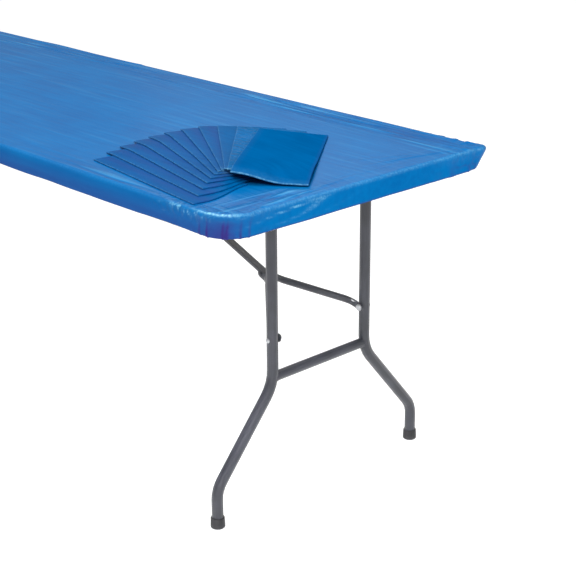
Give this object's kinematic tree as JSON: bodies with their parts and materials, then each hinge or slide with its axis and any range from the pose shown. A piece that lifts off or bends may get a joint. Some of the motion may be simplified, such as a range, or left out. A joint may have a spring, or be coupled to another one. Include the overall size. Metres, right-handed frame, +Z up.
{
  "type": "fitted tablecloth on a folding table",
  "caption": "Elastic-edged plastic film cover fitted over a rectangular folding banquet table, with a fan of folded spare covers laid on one corner and fold-up leg frames below",
  "frame": {"origin": "on the floor, under the middle of the table", "axes": "+X along the length towards the end with the folded covers, +Y across to the left side, +Z up"},
  "size_m": [2.438, 0.762, 0.773],
  "materials": {
    "blue_film": "thin glossy polyethylene film, lightly creased",
    "folded_film": "folded layers of the same film, glossy and wrinkled",
    "elastic": "covered elastic cord in a gathered hem",
    "moulded_top": "blow-moulded polyethylene with a light grain",
    "grey_steel": "dark grey powder coat, satin",
    "zinc_steel": "bright zinc plate",
    "foot_rubber": "moulded rubber"
  },
  "bodies": {
    "table_top": {"tabletop_panel": "moulded_top", "side_rail_left": "grey_steel", "side_rail_right": "grey_steel", "fitted_cover": "blue_film", "hem_elastic": "elastic", "link_bracket_a": "grey_steel", "link_pin_a": "zinc_steel", "pivot_clamp_left_a": "grey_steel", "pivot_clamp_right_a": "grey_steel", "clamp_screw_left_inner_a": "zinc_steel", "clamp_screw_left_outer_a": "zinc_steel", "clamp_screw_right_inner_a": "zinc_steel", "clamp_screw_right_outer_a": "zinc_steel", "link_bracket_b": "grey_steel", "link_pin_b": "zinc_steel", "pivot_clamp_left_b": "grey_steel", "pivot_clamp_right_b": "grey_steel", "clamp_screw_left_inner_b": "zinc_steel", "clamp_screw_left_outer_b": "zinc_steel", "clamp_screw_right_inner_b": "zinc_steel", "clamp_screw_right_outer_b": "zinc_steel"},
    "leg_frame_a": {"pivot_tube_a": "grey_steel", "leg_left_a": "grey_steel", "leg_right_a": "grey_steel", "cross_tube_a": "grey_steel", "foot_cap_left_a": "foot_rubber", "foot_cap_right_a": "foot_rubber", "leg_rivet_left_a": "zinc_steel", "leg_rivet_right_a": "zinc_steel"},
    "brace_a": {"brace_arm_left_a": "grey_steel", "brace_arm_right_a": "grey_steel", "elbow_rivet_left_a": "zinc_steel", "elbow_rivet_right_a": "zinc_steel"},
    "link_a": {"brace_link_a": "grey_steel", "elbow_pin_a": "zinc_steel"},
    "leg_frame_b": {"pivot_tube_b": "grey_steel", "leg_left_b": "grey_steel", "leg_right_b": "grey_steel", "cross_tube_b": "grey_steel", "foot_cap_left_b": "foot_rubber", "foot_cap_right_b": "foot_rubber", "leg_rivet_left_b": "zinc_steel", "leg_rivet_right_b": "zinc_steel"},
    "brace_b": {"brace_arm_left_b": "grey_steel", "brace_arm_right_b": "grey_steel", "elbow_rivet_left_b": "zinc_steel", "elbow_rivet_right_b": "zinc_steel"},
    "link_b": {"brace_link_b": "grey_steel", "elbow_pin_b": "zinc_steel"},
    "spare_01": {"folded_cover_01": "folded_film"},
    "spare_02": {"folded_cover_02": "folded_film"},
    "spare_03": {"folded_cover_03": "folded_film"},
    "spare_04": {"folded_cover_04": "folded_film"},
    "spare_05": {"folded_cover_05": "folded_film"},
    "spare_06": {"folded_cover_06": "folded_film"},
    "spare_07": {"folded_cover_07": "folded_film"},
    "spare_08": {"folded_cover_08": "folded_film"},
    "spare_09": {"folded_cover_09": "folded_film"},
    "spare_10": {"folded_cover_10": "folded_film"},
    "spare_11": {"folded_cover_11": "folded_film"}
  },
  "joints": [
    {"name": "leg_fold_a", "type": "hinge", "parent": "table_top", "child": "leg_frame_a", "pos_m": [1.079, 0, 0.7035], "axis": [0, 1, 0], "range_deg": [0, 88]},
    {"name": "brace_fold_a", "type": "hinge", "parent": "leg_frame_a", "child": "brace_a", "pos_m": [1.079, 0, 0.388], "axis": [0, 1, 0], "range_deg": [0, 66.9]},
    {"name": "link_fold_a", "type": "hinge", "parent": "table_top", "child": "link_a", "pos_m": [0.26118, 0, 0.7085], "axis": [0, 1, 0], "range_deg": [-21.5, 0]},
    {"name": "leg_fold_b", "type": "hinge", "parent": "table_top", "child": "leg_frame_b", "pos_m": [-1.079, 0, 0.7035], "axis": [0, -1, 0], "range_deg": [0, 88]},
    {"name": "brace_fold_b", "type": "hinge", "parent": "leg_frame_b", "child": "brace_b", "pos_m": [-1.079, 0, 0.388], "axis": [0, -1, 0], "range_deg": [0, 66.9]},
    {"name": "link_fold_b", "type": "hinge", "parent": "table_top", "child": "link_b", "pos_m": [-0.26118, 0, 0.7085], "axis": [0, -1, 0], "range_deg": [-21.5, 0]},
    {"name": "lift_cover_01", "type": "slide", "parent": "table_top", "child": "spare_01", "axis": [0, 0, 1], "range_m": [0, 0.05]},
    {"name": "lift_cover_02", "type": "slide", "parent": "spare_01", "child": "spare_02", "axis": [0, 0, 1], "range_m": [0, 0.05]},
    {"name": "lift_cover_03", "type": "slide", "parent": "spare_02", "child": "spare_03", "axis": [0, 0, 1], "range_m": [0, 0.05]},
    {"name": "lift_cover_04", "type": "slide", "parent": "spare_03", "child": "spare_04", "axis": [0, 0, 1], "range_m": [0, 0.05]},
    {"name": "lift_cover_05", "type": "slide", "parent": "spare_04", "child": "spare_05", "axis": [0, 0, 1], "range_m": [0, 0.05]},
    {"name": "lift_cover_06", "type": "slide", "parent": "spare_05", "child": "spare_06", "axis": [0, 0, 1], "range_m": [0, 0.05]},
    {"name": "lift_cover_07", "type": "slide", "parent": "spare_06", "child": "spare_07", "axis": [0, 0, 1], "range_m": [0, 0.05]},
    {"name": "lift_cover_08", "type": "slide", "parent": "spare_07", "child": "spare_08", "axis": [0, 0, 1], "range_m": [0, 0.05]},
    {"name": "lift_cover_09", "type": "slide", "parent": "spare_08", "child": "spare_09", "axis": [0, 0, 1], "range_m": [0, 0.05]},
    {"name": "lift_cover_10", "type": "slide", "parent": "spare_09", "child": "spare_10", "axis": [0, 0, 1], "range_m": [0, 0.05]},
    {"name": "lift_cover_11", "type": "slide", "parent": "spare_10", "child": "spare_11", "axis": [0, 0, 1], "range_m": [0, 0.05]}
  ],
  "couplings": [
    {"joint": "brace_fold_a", "follows": "leg_fold_a", "ratio": 0.75721},
    {"joint": "link_fold_a", "follows": "leg_fold_a", "ratio": -0.24035},
    {"joint": "brace_fold_b", "follows": "leg_fold_b", "ratio": 0.75721},
    {"joint": "link_fold_b", "follows": "leg_fold_b", "ratio": -0.24035}
  ]
}
